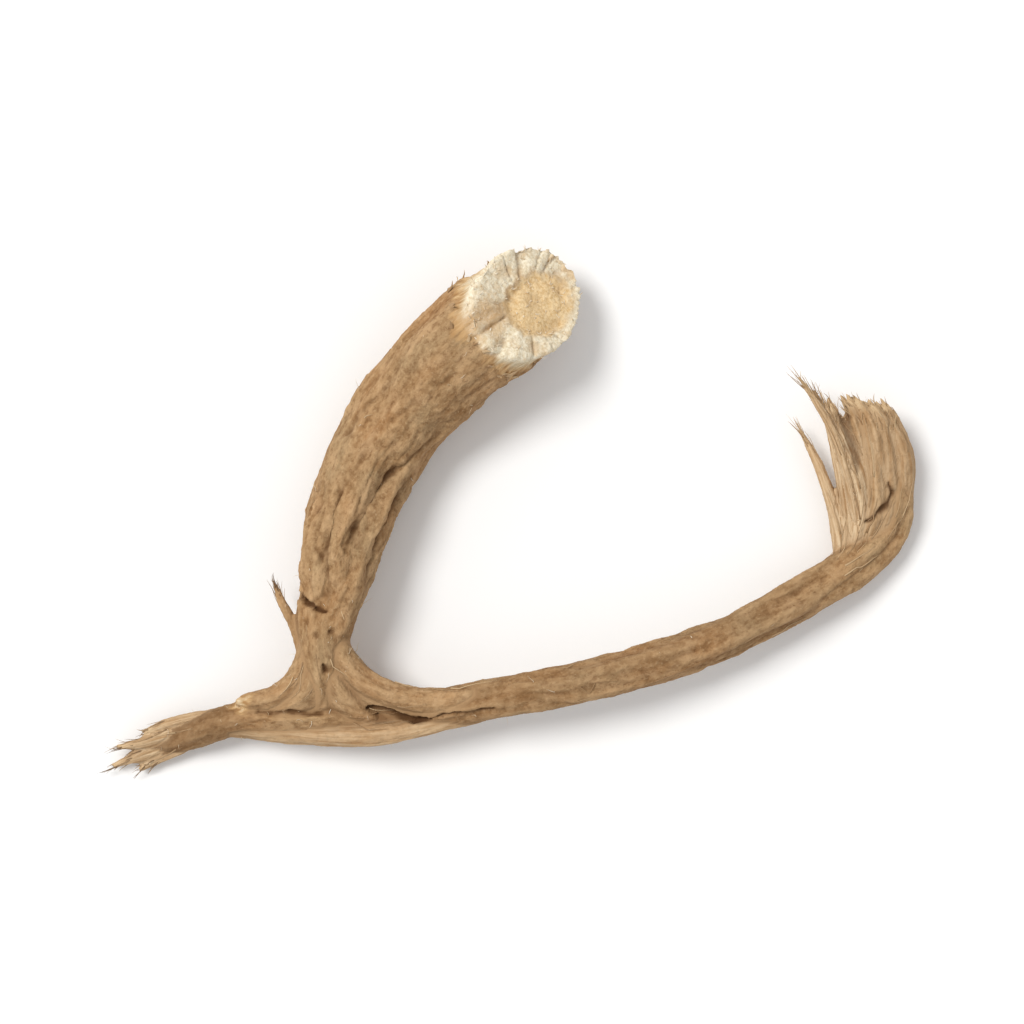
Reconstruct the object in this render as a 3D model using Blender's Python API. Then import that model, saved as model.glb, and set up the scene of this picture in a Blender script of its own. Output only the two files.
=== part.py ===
"""One forked piece of dried marshmallow root, lying on a surface.

A thick bark-covered branch with an oblique cut end, and two thinner roots that leave the fork at its foot:
one to the left with a ragged tip, one to the right with a hooked, frayed end. It grew as one body, so it is
one closed solid. Lengths in the tables are millimetres. +X runs along the thin roots, +Y from the fork to the
cut end and +Z up. The origin is at the middle of the bottom of the piece.
"""

import math
import random

import bpy
import numpy as np
from mathutils import Matrix, Vector, noise

# Driving dimensions, in millimetres
MM = 0.001
CUT_RADIUS = 1.58
RIGHT_RADIUS = 0.63
BARK_THICKNESS = 0.13
CUT_SLOPE = 0.80
FLOOR_DEPTH = 4.0

# Centreline of the thick branch, from the cut end to the fork, as (x, y, z)
BRANCH_ROUTE = (
    (0.22, 5.10, 2.42),
    (-1.20, 4.10, 1.92),
    (-2.75, 2.62, 1.36),
    (-4.00, 0.75, 1.18),
    (-4.66, -1.20, 1.40),
    (-5.05, -2.75, 1.66),
    (-5.18, -3.96, 1.78),
    (-5.16, -5.00, 1.52),
    (-5.20, -5.80, 1.12),
)
# Radius of the thick branch, as a share of the cut's, at shares of its length
BRANCH_SHARES = (0.0, 0.14, 0.32, 0.48, 0.62, 0.72, 0.79, 0.85, 0.92, 1.0)
BRANCH_RADII = (1.0, 0.97, 0.89, 0.83, 0.77, 0.70, 0.55, 0.43, 0.42, 0.30)

# The thin roots and the strands of the fork, as (x, y, z, radius)
RIGHT_ROOT = (
    (-4.90, -6.08, 1.08, 0.34),
    (-3.60, -6.00, 1.12, 0.38),
    (-2.40, -5.88, 1.40, 0.52),
    (-1.20, -5.62, 1.62, 0.62),
    (0.54, -5.30, 1.74, 0.62),
    (2.94, -4.78, 1.72, 0.65),
    (5.34, -3.98, 1.48, 0.60),
    (7.70, -2.80, 1.06, 0.66),
    (9.45, -1.74, 0.62, 0.66),
    (10.22, -0.92, 0.50, 0.62),
    (10.40, 0.06, 0.80, 0.50),
    (10.24, 0.90, 1.02, 0.30),
)
LEFT_ROOT = (
    (-4.10, -6.06, 1.24, 0.36),
    (-5.40, -6.02, 1.20, 0.52),
    (-6.70, -6.04, 1.04, 0.56),
    (-7.70, -6.12, 0.90, 0.48),
    (-8.82, -6.46, 0.60, 0.50),
    (-9.80, -6.84, 0.29, 0.38),
    (-10.50, -7.10, 0.26, 0.18),
)
FORK_STRANDS = (
    (
        (-4.98, -2.50, 1.80, 0.24),
        (-4.88, -3.90, 1.94, 0.34),
        (-4.42, -4.74, 1.94, 0.40),
        (-3.66, -5.26, 1.85, 0.40),
        (-2.70, -5.52, 1.77, 0.38),
        (-1.60, -5.52, 1.79, 0.42),
        (-0.30, -5.36, 1.86, 0.30),
    ),
    (
        (-5.24, -2.60, 1.66, 0.26),
        (-5.56, -4.00, 1.78, 0.32),
        (-5.84, -4.90, 1.68, 0.38),
        (-6.42, -5.42, 1.48, 0.36),
        (-7.10, -5.60, 1.28, 0.31),
        (-7.54, -5.60, 1.22, 0.18),
    ),
    (
        (-8.30, -6.30, 0.86, 0.26),
        (-6.60, -6.38, 1.06, 0.36),
        (-5.00, -6.48, 1.26, 0.38),
        (-3.70, -6.48, 1.46, 0.34),
        (-2.50, -6.26, 1.56, 0.32),
        (-1.10, -5.90, 1.60, 0.30),
    ),
    (
        (-5.06, -3.40, 1.66, 0.30),
        (-5.06, -4.40, 1.74, 0.46),
        (-4.80, -5.10, 1.64, 0.54),
        (-4.40, -5.60, 1.40, 0.54),
        (-3.90, -6.00, 1.16, 0.40),
    ),
    (
        (-5.30, -3.60, 1.62, 0.28),
        (-5.46, -4.70, 1.64, 0.50),
        (-5.76, -5.40, 1.46, 0.54),
        (-6.60, -5.90, 1.16, 0.38),
    ),
    (
        (-5.04, -3.60, 1.62, 0.30),
        (-4.56, -4.66, 1.70, 0.48),
        (-3.92, -5.26, 1.62, 0.48),
        (-3.16, -5.58, 1.52, 0.43),
        (-2.20, -5.66, 1.50, 0.40),
    ),
)
SIDE_ROOTLET = (
    (-6.62, -2.30, 1.14, 0.05),
    (-6.34, -2.95, 1.36, 0.15),
    (-5.90, -3.80, 1.60, 0.18),
    (-5.66, -4.80, 1.66, 0.16),
)
# The hooked end is a flat band of frayed strands, which lie between an outer and an inner route. The shares
# say where between the two each strand lies, and the gap in them is the split in the band.
HOOK_OUTER = (
    (9.90, -1.60, 0.50, 0.34),
    (10.56, -0.20, 0.72, 0.34),
    (10.62, 1.04, 1.06, 0.28),
    (10.36, 2.00, 1.28, 0.26),
    (9.84, 2.68, 1.40, 0.09),
)
HOOK_INNER = (
    (9.00, -2.00, 0.54, 0.34),
    (9.06, -0.60, 0.76, 0.32),
    (8.80, 0.80, 1.06, 0.26),
    (8.42, 1.90, 1.26, 0.23),
    (8.02, 2.80, 1.36, 0.08),
)
HOOK_SHARES = (0.0, 0.10, 0.20, 0.30, 0.40, 0.50, 0.60, 0.80, 0.96)
HOOK_CROWN = 0.22
HOOK_JITTER = 0.07
HOOK_LENGTHS = (0.45, 1.05)
HOOK_SEED = 7
# Strands that stand clear of the band: one on its inner side and one on its top
LOOSE_STRANDS = (
    (
        (8.96, -2.05, 0.56, 0.28),
        (8.82, -0.80, 0.66, 0.26),
        (8.44, 0.34, 0.76, 0.20),
        (8.14, 1.10, 0.78, 0.15),
        (7.80, 1.72, 0.72, 0.07),
    ),
    (
        (9.34, -0.70, 0.96, 0.20),
        (8.98, 0.60, 1.36, 0.19),
        (8.56, 1.72, 1.58, 0.15),
        (8.02, 2.66, 1.70, 0.11),
        (7.66, 3.14, 1.74, 0.06),
    ),
)
TIP_STRANDS = (
    ((-9.00, -6.36, 0.66, 0.24), (-10.10, -6.74, 0.56, 0.21), (-10.96, -6.92, 0.50, 0.09)),
    ((-9.30, -6.74, 0.46, 0.28), (-10.40, -7.16, 0.34, 0.21), (-11.12, -7.46, 0.26, 0.09)),
    ((-9.10, -6.84, 0.48, 0.22), (-9.90, -7.24, 0.34, 0.17), (-10.40, -7.58, 0.24, 0.08)),
    ((-8.00, -6.02, 0.84, 0.26), (-9.30, -6.22, 0.66, 0.25), (-10.20, -6.50, 0.56, 0.10)),
)

# Long furrows of the thick branch: start and end along it, angle from its top at both, half width, depth
BRANCH_FURROWS = (
    (1.2, 5.6, -58, -46, 0.32, 0.17),
    (4.6, 9.6, -46, -12, 0.33, 0.42),
    (6.2, 9.8, -60, -62, 0.30, 0.34),
    (6.8, 9.4, 12, 34, 0.31, 0.40),
    (8.3, 10.6, 16, 2, 0.28, 0.32),
    (6.4, 8.8, 84, 60, 0.32, 0.32),
    (2.6, 6.8, 0, 10, 0.36, 0.13),
    (2.4, 6.4, 44, 38, 0.36, 0.15),
    (1.0, 6.2, -88, -76, 0.36, 0.32),
    (6.2, 10.8, -92, -78, 0.34, 0.34),
    (2.4, 7.6, 96, 84, 0.34, 0.26),
    (8.4, 11.0, 96, 80, 0.30, 0.28),
    (0.6, 7.4, 122, 144, 0.38, 0.32),
    (5.8, 10.6, 176, 160, 0.38, 0.30),
    (1.6, 8.8, -122, -142, 0.38, 0.32),
)
# Raised ridges between the furrows, in the same terms
BRANCH_RIDGES = (
    (7.6, 10.0, 62, 52, 0.42, 0.18),
    (6.2, 9.8, -50, -36, 0.24, 0.14),
    (6.2, 10.2, -78, -70, 0.30, 0.12),
    (6.6, 9.6, -10, -4, 0.36, 0.10),
    (1.4, 6.4, 70, 64, 0.40, 0.08),
)
# Finer wrinkles as (count round, drift in degrees per mm, phase in degrees, share of depth)
BRANCH_WRINKLES = ((10, 11, 40, 0.55), (7, -15, 200, 0.45))
ROOT_WRINKLES = ((5, 16, 30, 0.60), (4, -23, 140, 0.40))
BRANCH_WRINKLE_DEPTH = 0.19
ROOT_WRINKLE_DEPTH = 0.21
# The branch's wrinkles deepen from a share of their depth at the cut, by this much per mm
GATHER_AT_CUT, GATHER_RATE = 0.46, 0.085
# How far, in degrees, furrows and wrinkles sway to the sides, and the rates of that sway in radians per mm
SWAY = 9
WRINKLE_SWAY_RATE = 1.9
FURROW_SWAY = ((0.7, 1.3), (0.3, 2.7))
# How sharp the wrinkles' crests are, and how slowly the furrows shallow out towards their ends
WRINKLE_SHARPNESS = 1.4
FURROW_TAPER = 0.8
# Lumps that break the ridges up: share of the furrows' depth, and how close they stand along and round
KNUCKLE_SHARE = 0.45
KNUCKLE_RATE = 1.7
LUMP_ROUND_RATE = 1.1

# Short broken rootlets and hollows on the bark: distance along, angle from the top, radius, height
STUBS = ((3.3, 122, 0.20, 0.26), (7.2, -122, 0.17, 0.24), (8.3, 130, 0.16, 0.26), (5.6, 150, 0.22, 0.20))
PITS = ((10.35, 12, 0.20, 0.20), (10.45, -22, 0.16, 0.18), (9.95, 72, 0.24, 0.22), (10.10, 52, 0.22, 0.24))
BUMP_STEEPNESS = 1.6
# The torn rim of the cut: teeth counted round it, the angle where they stand highest, how high and how steep
RIM_TEETH = (9, 13, 19)
RIM_TORN_ANGLE = 60
RIM_HEIGHT = 0.40
RIM_STEEPNESS = 5
# Rings of the cut face as shares of its radius, their heights, and where the core's middle lies on the face
CAP_RINGS = (0.86, 0.58, 0.47, 0.28)
CAP_HEIGHTS = (0.02, 0.03, -0.10, 0.02)
CORE_RING = 0.58
CORE_SHIFT_UP, CORE_SHIFT_SIDE = -0.30, -0.22
CAP_OVERLAP = 0.05
# The bark starts behind the cut, as a mean and as waves round it (height, count, phase), over a short step
BARK_START = 0.56
BARK_START_WAVES = ((0.26, 2, 4.9), (0.10, 5, 0.4), (0.06, 9, 1.0))
BARK_STEP = 0.25
BARE_WOOD_RELIEF = 0.25
LEAN_FADE = 4.2
FULL_RELIEF_RADIUS = 1.1
BRANCH_SWELL, BRANCH_SWELL_RATE = 0.09, 0.7
ROOT_SWELL, ROOT_SWELL_RATE = 0.10, 1.3

# Fineness of the meshes: sides and stations of the branch; sides, spacing and wrinkle depth of the tubes
BRANCH_SIDES, BRANCH_STATIONS = 58, 46
RIGHT_ROOT_MESH = (20, 0.46, ROOT_WRINKLE_DEPTH)
LEFT_ROOT_MESH = (16, 0.46, ROOT_WRINKLE_DEPTH)
ROOTLET_MESH = (8, 0.45, 0.06)
FORK_MESH = (12, 0.42, 0.15)
FRAYED_MESH = (7, 0.46, 0.10)
BLUNT_END = 0.6
FOOT_LENGTH = 0.2
CURVE_STEPS = 24
FLOOR_REACH = 40.0
SHARP_ANGLE = 75


def smooth_curve(points, count):
    """Evenly spaced stations on a Catmull-Rom curve through the points, and their distances along it."""
    points = np.array(points)
    padded = np.vstack((2 * points[0] - points[1], points, 2 * points[-1] - points[-2]))
    steps = np.linspace(0, 1, CURVE_STEPS, endpoint=False)[:, None]
    parts = []
    for before, start, end, after in zip(padded, padded[1:], padded[2:], padded[3:]):
        linear = (end - before) * steps
        square = (2 * before - 5 * start + 4 * end - after) * steps**2
        cube = (3 * start - before - 3 * end + after) * steps**3
        parts.append(0.5 * (2 * start + linear + square + cube))
    curve = np.vstack(parts + [points[-1:]])
    along = np.concatenate(([0], np.cumsum(np.linalg.norm(np.diff(curve[:, :3], axis=0), axis=1))))
    wanted = np.linspace(0, along[-1], count)
    stations = np.column_stack([np.interp(wanted, along, column) for column in curve.T])
    return stations, wanted


def frames_along(centres):
    """Tangent, up and side directions at each station; up leans as little from +Z as it can."""
    tangent = np.gradient(centres, axis=0)
    tangent /= np.linalg.norm(tangent, axis=1)[:, None]
    up = np.array((0, 0, 1)) - tangent * tangent[:, 2:]
    up /= np.linalg.norm(up, axis=1)[:, None]
    return tangent, up, np.cross(tangent, up)


def wrinkle(along, angle, waves):
    """Depth share, 0 on the crests and 1 in the valleys, of long wrinkles that drift round the root."""
    depth = 0
    for count, drift, phase, share in waves:
        bend = SWAY * math.sin(WRINKLE_SWAY_RATE * along + phase)
        turn = count * angle / 2 + math.radians(drift * along + phase + bend)
        depth += share * (1 - abs(math.sin(turn))) ** WRINKLE_SHARPNESS
    return depth


def furrow(along, angle, radius, rows):
    """Depth in millimetres of the long furrows, or height of the ridges, at one place on the branch."""
    depth = 0
    for start, end, start_angle, end_angle, half_width, deepest in rows:
        share = (along - start) / (end - start)
        if not 0 < share < 1:
            continue
        sway = SWAY * sum(part * math.sin(rate * along + start_angle) for part, rate in FURROW_SWAY)
        middle = math.radians(start_angle + (end_angle - start_angle) * share + sway)
        aside = abs(math.remainder(angle - middle, 2 * math.pi)) * radius / half_width
        if aside < 1:
            valley = 0.5 + 0.5 * math.cos(math.pi * aside)
            depth = max(depth, deepest * math.sin(math.pi * share) ** FURROW_TAPER * valley)
    return depth


def bump(along, angle, radius, rows):
    """Height in millimetres of round stubs, or of pits, at one place on the branch."""
    height = 0
    for place, place_angle, size, tall in rows:
        aside = math.remainder(angle - math.radians(place_angle), 2 * math.pi) * radius
        away = math.hypot(along - place, aside) / size
        height += tall * math.exp(-BUMP_STEEPNESS * away**2)
    return height


def bark_edge(angle):
    """How far behind the cut plane the bark begins, for each angle."""
    waves = (height * math.sin(count * angle + phase) for height, count, phase in BARK_START_WAVES)
    return BARK_START + sum(waves)


def lumps(along, angle, rate):
    """Noise from about -1 to 1 over the bark."""
    around = (LUMP_ROUND_RATE * math.cos(angle), LUMP_ROUND_RATE * math.sin(angle))
    return noise.noise(Vector((rate * along, *around)))


def branch_radius(along, behind_cut, angle, plain):
    """Radius of the thick branch with its furrows, wrinkles, stubs and the step where the bark is torn."""
    bark = min(1, max(0, (behind_cut - bark_edge(angle)) / BARK_STEP))
    radius = plain - BARK_THICKNESS * (1 - bark)
    gathered = BRANCH_WRINKLE_DEPTH * min(1, GATHER_AT_CUT + GATHER_RATE * max(0, along))
    wrinkled = gathered * wrinkle(along, angle, BRANCH_WRINKLES)
    depth = max(furrow(along, angle, plain, BRANCH_FURROWS), wrinkled)
    depth *= 1 + KNUCKLE_SHARE * lumps(along, angle, KNUCKLE_RATE)
    depth -= furrow(along, angle, plain, BRANCH_RIDGES)
    depth *= BARE_WOOD_RELIEF + (1 - BARE_WOOD_RELIEF) * bark
    radius -= depth * min(1, plain / FULL_RELIEF_RADIUS) ** 2
    radius += bump(along, angle, plain, STUBS) - bump(along, angle, plain, PITS)
    return radius + BRANCH_SWELL * lumps(along, angle, BRANCH_SWELL_RATE)


def cut_height(angle, share):
    """Torn relief of the cut face and its rim, out of the cut plane."""
    teeth = sum(abs(math.sin(count * angle / 2 + count)) for count in RIM_TEETH) / len(RIM_TEETH)
    upper_left = 0.5 + 0.5 * math.cos(angle - math.radians(RIM_TORN_ANGLE))
    return RIM_HEIGHT * teeth * upper_left * share**RIM_STEEPNESS


def mesh_object(name, vertices, faces):
    mesh = bpy.data.meshes.new(name)
    mesh.from_pydata([tuple(MM * value for value in vertex) for vertex in vertices], [], faces)
    mesh.update()
    piece = bpy.data.objects.new(name, mesh)
    bpy.context.collection.objects.link(piece)
    return piece


def skin(rings, sides):
    """Quads between neighbouring rings of vertices, numbered ring by ring."""
    faces = []
    for ring in range(rings - 1):
        for side in range(sides):
            turn = (side + 1) % sides
            low, high = ring * sides, (ring + 1) * sides
            faces.append((low + side, low + turn, high + turn, high + side))
    return faces


def make_branch():
    """The thick branch: an oblique cut face made of rings, then its bark-covered side, then a blunt foot."""
    stations, along = smooth_curve(BRANCH_ROUTE, BRANCH_STATIONS)
    tangent, up, side = frames_along(stations)
    plain = CUT_RADIUS * np.interp(along / along[-1], BRANCH_SHARES, BRANCH_RADII)
    angles = [2 * math.pi * k / BRANCH_SIDES for k in range(BRANCH_SIDES)]
    vertices = []

    # The cut face, from its middle outwards
    middle, up_there, side_there, back = (Vector(row[0]) for row in (stations, up, side, tangent))
    for share, height in zip(CAP_RINGS[::-1], CAP_HEIGHTS[::-1]):
        shift = min(1, (1 - share) / (1 - CORE_RING)) ** 2
        for angle in angles:
            reach = share * (branch_radius(0, 0, angle, plain[0]) + CAP_OVERLAP)
            above = reach * math.cos(angle) + CORE_SHIFT_UP * shift
            aside = reach * math.sin(angle) + CORE_SHIFT_SIDE * shift
            lean = CUT_SLOPE * above - height - cut_height(angle, share)
            vertices.append(middle + up_there * above + side_there * aside + back * lean)

    # The side, whose first ring lies on the cut plane and whose lean fades along the branch
    for ring in range(BRANCH_STATIONS):
        fade = max(0, 1 - along[ring] / LEAN_FADE)
        for angle in angles:
            lean = fade * (CUT_SLOPE * plain[0] * math.cos(angle) - cut_height(angle, 1))
            reach = branch_radius(along[ring] + lean, along[ring], angle, plain[ring])
            out = Vector(up[ring]) * math.cos(angle) + Vector(side[ring]) * math.sin(angle)
            vertices.append(Vector(stations[ring]) + out * reach + Vector(tangent[ring]) * lean)

    rings = BRANCH_STATIONS + len(CAP_RINGS)
    faces = skin(rings, BRANCH_SIDES)
    last = (rings - 1) * BRANCH_SIDES
    first_middle, last_middle = len(vertices), len(vertices) + 1
    core_lean = CUT_SLOPE * CORE_SHIFT_UP - CAP_HEIGHTS[-1]
    vertices.append(middle + up_there * CORE_SHIFT_UP + side_there * CORE_SHIFT_SIDE + back * core_lean)
    vertices.append(Vector(stations[-1]) + Vector(tangent[-1]) * FOOT_LENGTH)
    for k in range(BRANCH_SIDES):
        turn = (k + 1) % BRANCH_SIDES
        faces.append((turn, k, first_middle))
        faces.append((last + k, last + turn, last_middle))
    return mesh_object("branch", vertices, faces)


def make_tube(name, points, fineness):
    """A root or strand along its points, wrinkled lengthways, with both ends closed to a low point."""
    sides, spacing, depth = fineness
    length = sum(math.dist(a[:3], b[:3]) for a, b in zip(points, points[1:]))
    stations, along = smooth_curve(points, max(4, round(length / spacing)))
    centres, plain = stations[:, :3], stations[:, 3]
    tangent, up, side = frames_along(centres)
    vertices = []
    for ring, centre in enumerate(centres):
        for k in range(sides):
            angle = 2 * math.pi * k / sides
            sunk = depth * wrinkle(along[ring], angle, ROOT_WRINKLES)
            round_it = Vector((math.cos(angle), math.sin(angle), 0))
            swell = ROOT_SWELL * noise.noise(Vector(ROOT_SWELL_RATE * centre) + round_it)
            reach = plain[ring] * (1 - sunk / RIGHT_RADIUS + swell)
            out = Vector(up[ring]) * math.cos(angle) + Vector(side[ring]) * math.sin(angle)
            vertices.append(Vector(centre) + out * reach)
    faces = skin(len(centres), sides)
    last = (len(centres) - 1) * sides
    first_tip, last_tip = len(vertices), len(vertices) + 1
    vertices += [
        Vector(centres[0]) - Vector(tangent[0]) * plain[0] * BLUNT_END,
        Vector(centres[-1]) + Vector(tangent[-1]) * plain[-1] * BLUNT_END,
    ]
    for k in range(sides):
        turn = (k + 1) % sides
        faces.append((turn, k, first_tip))
        faces.append((last + k, last + turn, last_tip))
    return mesh_object(name, vertices, faces)


def hook_strands():
    """The strands of the band: routes between the outer and the inner one, arched and of uneven length."""
    draw = random.Random(HOOK_SEED)
    outer, inner = np.array(HOOK_OUTER), np.array(HOOK_INNER)
    strands = []
    for share in HOOK_SHARES:
        points = outer + (inner - outer) * share
        points[1:, 2] += HOOK_CROWN * 4 * share * (1 - share)
        points[1:-1] += [[draw.uniform(-HOOK_JITTER, HOOK_JITTER) for _ in range(4)] for _ in points[1:-1]]
        points[-1] = points[-2] + (points[-1] - points[-2]) * draw.uniform(*HOOK_LENGTHS)
        strands.append([tuple(point) for point in points])
    return strands


def make_strands():
    """Everything thinner than the thick branch, each sunk into what it grows from."""
    pieces = [
        make_tube("right_root", RIGHT_ROOT, RIGHT_ROOT_MESH),
        make_tube("left_root", LEFT_ROOT, LEFT_ROOT_MESH),
        make_tube("side_rootlet", SIDE_ROOTLET, ROOTLET_MESH),
    ]
    for points in FORK_STRANDS:
        pieces.append(make_tube("fork_strand", points, FORK_MESH))
    for points in [*hook_strands(), *LOOSE_STRANDS, *TIP_STRANDS]:
        pieces.append(make_tube("frayed_strand", points, FRAYED_MESH))
    return pieces


def apply_boolean(piece, operation, others):
    """Join the others to the piece, or cut them off it, and remove them."""
    group = bpy.data.collections.new("boolean_group")
    for other in others:
        group.objects.link(other)
    modifier = piece.modifiers.new("Boolean", "BOOLEAN")
    modifier.operation = operation
    modifier.operand_type = "COLLECTION"
    modifier.collection = group
    modifier.solver = "EXACT"
    evaluated = piece.evaluated_get(bpy.context.evaluated_depsgraph_get())
    joined = bpy.data.meshes.new_from_object(evaluated)
    piece.modifiers.clear()
    piece.data = joined
    for other in others:
        bpy.data.objects.remove(other, do_unlink=True)
    bpy.data.collections.remove(group)


def make_floor_cutter():
    """A block below the surface that the piece lies on: what it cuts off leaves small flat resting spots."""
    bpy.ops.mesh.primitive_cube_add(size=1, location=(0, 0, -MM * FLOOR_DEPTH / 2))
    cutter = bpy.context.object
    cutter.scale = (MM * FLOOR_REACH, MM * FLOOR_REACH, MM * FLOOR_DEPTH)
    cutter.hide_render = True
    cutter.display_type = "WIRE"
    return cutter


def centre_over_origin(piece):
    """Slide the piece on the surface until the middle of its outline is at the origin."""
    corners = [Vector(corner) for corner in piece.bound_box]
    middle = sum(corners, Vector()) / len(corners)
    piece.data.transform(Matrix.Translation((-middle.x, -middle.y, 0)))


def bark_material():
    material = bpy.data.materials.new("bark")
    material.use_nodes = True
    shader = material.node_tree.nodes["Principled BSDF"]
    shader.inputs["Base Color"].default_value = (0.46, 0.30, 0.17, 1)
    shader.inputs["Roughness"].default_value = 0.82
    shader.inputs["Metallic"].default_value = 0
    return material


def main():
    for old in list(bpy.data.objects):
        bpy.data.objects.remove(old, do_unlink=True)
    root = make_branch()
    root.name = "marshmallow_root"
    apply_boolean(root, "UNION", make_strands())
    apply_boolean(root, "DIFFERENCE", [make_floor_cutter()])
    centre_over_origin(root)
    root.data.materials.clear()
    root.data.materials.append(bark_material())
    root.data.shade_smooth()
    root.data.set_sharp_from_angle(angle=math.radians(SHARP_ANGLE))


main()
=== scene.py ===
"""Finish of one forked piece of dried marshmallow root, seen from straight above on a white surface.

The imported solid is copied, made fine, wrinkled and coloured as bark and cut wood, and dressed with torn bark,
bast fibres and fuzz. Lengths are in millimetres except where a comment says metres, and places are in the
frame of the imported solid.
"""

import math
import random

import bpy
import numpy as np
from mathutils import Matrix, Vector, noise
from mathutils.bvhtree import BVHTree


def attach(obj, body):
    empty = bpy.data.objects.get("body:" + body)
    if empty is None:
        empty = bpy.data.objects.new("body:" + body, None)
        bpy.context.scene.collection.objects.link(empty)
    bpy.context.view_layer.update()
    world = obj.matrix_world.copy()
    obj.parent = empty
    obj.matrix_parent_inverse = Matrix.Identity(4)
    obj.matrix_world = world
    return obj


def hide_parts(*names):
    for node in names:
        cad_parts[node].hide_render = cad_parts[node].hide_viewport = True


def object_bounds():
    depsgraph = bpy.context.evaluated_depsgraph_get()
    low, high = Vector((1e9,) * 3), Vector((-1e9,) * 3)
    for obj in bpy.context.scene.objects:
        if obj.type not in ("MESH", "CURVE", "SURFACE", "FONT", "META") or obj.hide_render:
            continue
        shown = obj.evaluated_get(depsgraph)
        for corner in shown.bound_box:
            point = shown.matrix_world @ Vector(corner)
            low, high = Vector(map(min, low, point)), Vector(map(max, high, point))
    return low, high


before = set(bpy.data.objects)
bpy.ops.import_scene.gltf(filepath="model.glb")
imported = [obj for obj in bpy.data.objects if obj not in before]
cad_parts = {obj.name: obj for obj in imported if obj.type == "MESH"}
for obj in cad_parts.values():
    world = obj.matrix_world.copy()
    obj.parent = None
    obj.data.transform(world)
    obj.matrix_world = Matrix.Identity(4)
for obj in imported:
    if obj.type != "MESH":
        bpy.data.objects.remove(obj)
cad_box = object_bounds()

MM = 0.001
NODE, BODY, SLOT = "marshmallow_root", "root", "bark"

# The routes below are those of the solid before it was centred, so they are slid by this much
ROUTE_SHIFT = (0.1182, 0.4537, 0.0)
CUT_RADIUS = 1.58
CUT_SLOPE = 0.80
BARK_START = 0.56
BARK_START_WAVES = ((0.26, 2, 4.9), (0.10, 5, 0.4), (0.06, 9, 1.0))
BRANCH_SHARES = (0.0, 0.14, 0.32, 0.48, 0.62, 0.72, 0.79, 0.85, 0.92, 1.0)
BRANCH_RADII = (1.0, 0.97, 0.89, 0.83, 0.77, 0.70, 0.55, 0.43, 0.42, 0.30)
BRANCH_ROUTE = (
    (0.22, 5.10, 2.42),
    (-1.20, 4.10, 1.92),
    (-2.75, 2.62, 1.36),
    (-4.00, 0.75, 1.18),
    (-4.66, -1.20, 1.40),
    (-5.05, -2.75, 1.66),
    (-5.18, -3.96, 1.78),
    (-5.16, -5.00, 1.52),
    (-5.20, -5.80, 1.12),
)
RIGHT_ROOT = (
    (-4.90, -6.08, 1.08, 0.34),
    (-3.60, -6.00, 1.12, 0.38),
    (-2.40, -5.88, 1.40, 0.52),
    (-1.20, -5.62, 1.62, 0.62),
    (0.54, -5.30, 1.74, 0.62),
    (2.94, -4.78, 1.72, 0.65),
    (5.34, -3.98, 1.48, 0.60),
    (7.70, -2.80, 1.06, 0.66),
    (9.45, -1.74, 0.62, 0.66),
    (10.22, -0.92, 0.50, 0.62),
    (10.40, 0.06, 0.80, 0.50),
    (10.24, 0.90, 1.02, 0.30),
)
LEFT_ROOT = (
    (-4.10, -6.06, 1.24, 0.36),
    (-5.40, -6.02, 1.20, 0.52),
    (-6.70, -6.04, 1.04, 0.56),
    (-7.70, -6.12, 0.90, 0.48),
    (-8.82, -6.46, 0.60, 0.50),
    (-9.80, -6.84, 0.29, 0.38),
    (-10.50, -7.10, 0.26, 0.18),
)
FORK_STRANDS = (
    (
        (-4.98, -2.50, 1.80, 0.24),
        (-4.88, -3.90, 1.94, 0.34),
        (-4.42, -4.74, 1.94, 0.40),
        (-3.66, -5.26, 1.85, 0.40),
        (-2.70, -5.52, 1.77, 0.38),
        (-1.60, -5.52, 1.79, 0.42),
        (-0.30, -5.36, 1.86, 0.30),
    ),
    (
        (-5.24, -2.60, 1.66, 0.26),
        (-5.56, -4.00, 1.78, 0.32),
        (-5.84, -4.90, 1.68, 0.38),
        (-6.42, -5.42, 1.48, 0.36),
        (-7.10, -5.60, 1.28, 0.31),
        (-7.54, -5.60, 1.22, 0.18),
    ),
    (
        (-8.30, -6.30, 0.86, 0.26),
        (-6.60, -6.38, 1.06, 0.36),
        (-5.00, -6.48, 1.26, 0.38),
        (-3.70, -6.48, 1.46, 0.34),
        (-2.50, -6.26, 1.56, 0.32),
        (-1.10, -5.90, 1.60, 0.30),
    ),
    (
        (-5.06, -3.40, 1.66, 0.30),
        (-5.06, -4.40, 1.74, 0.46),
        (-4.80, -5.10, 1.64, 0.54),
        (-4.40, -5.60, 1.40, 0.54),
        (-3.90, -6.00, 1.16, 0.40),
    ),
    (
        (-5.30, -3.60, 1.62, 0.28),
        (-5.46, -4.70, 1.64, 0.50),
        (-5.76, -5.40, 1.46, 0.54),
        (-6.60, -5.90, 1.16, 0.38),
    ),
    (
        (-5.04, -3.60, 1.62, 0.30),
        (-4.56, -4.66, 1.70, 0.48),
        (-3.92, -5.26, 1.62, 0.48),
        (-3.16, -5.58, 1.52, 0.43),
        (-2.20, -5.66, 1.50, 0.40),
    ),
)
SIDE_ROOTLET = (
    (-6.62, -2.30, 1.14, 0.05),
    (-6.34, -2.95, 1.36, 0.15),
    (-5.90, -3.80, 1.60, 0.18),
    (-5.66, -4.80, 1.66, 0.16),
)
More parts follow.
